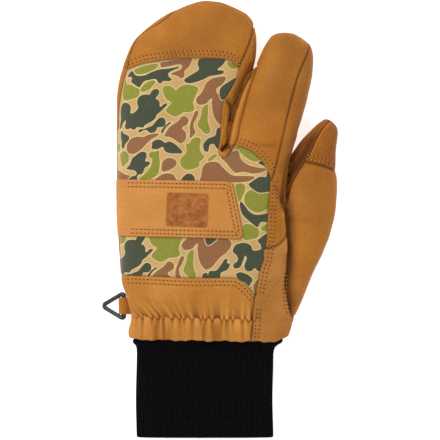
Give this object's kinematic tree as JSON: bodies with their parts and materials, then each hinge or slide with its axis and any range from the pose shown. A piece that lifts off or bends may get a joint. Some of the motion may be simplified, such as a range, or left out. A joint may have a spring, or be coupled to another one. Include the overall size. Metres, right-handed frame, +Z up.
{
  "type": "glove",
  "caption": "Padded leather mitten for the left hand, with a separate index finger, cloth back, strap, gathered wrist, ribbed knit cuff and a swinging clip.",
  "frame": {"origin": "on the surface that the glove lies on, under the middle of its bounding box", "axes": "+Y along the glove, from the knit cuff to the fingertips; +Z up, out of the back of the hand; +X towards the thumb"},
  "size_m": [0.1608, 0.296, 0.0385],
  "materials": {
    "leather": "golden tan grain leather, matte with a soft sheen",
    "printed_cloth": "close woven cotton with a blotched print in tan, light green, dark green and brown",
    "knit": "black rib knit wool",
    "clip_plastic": "black moulded plastic, satin"
  },
  "bodies": {
    "glove": {"palm": "leather", "thumb_front": "leather", "index_front": "leather", "finger_cap": "leather", "finger_gusset": "leather", "index_back": "leather", "wrist_band": "leather", "wrist_side": "leather", "thumb_cap": "leather", "thumb_back": "leather", "cloth_back": "printed_cloth", "strap": "leather", "knit_cuff": "knit", "clip_loop": "leather"},
    "clip": {"clip_ring": "clip_plastic"}
  },
  "joints": [
    {"name": "clip_swing", "type": "hinge", "parent": "glove", "child": "clip", "pos_m": [-0.06532, -0.05947, 0.0062], "axis": [0, 1, 0], "range_deg": [-70, 95]}
  ]
}
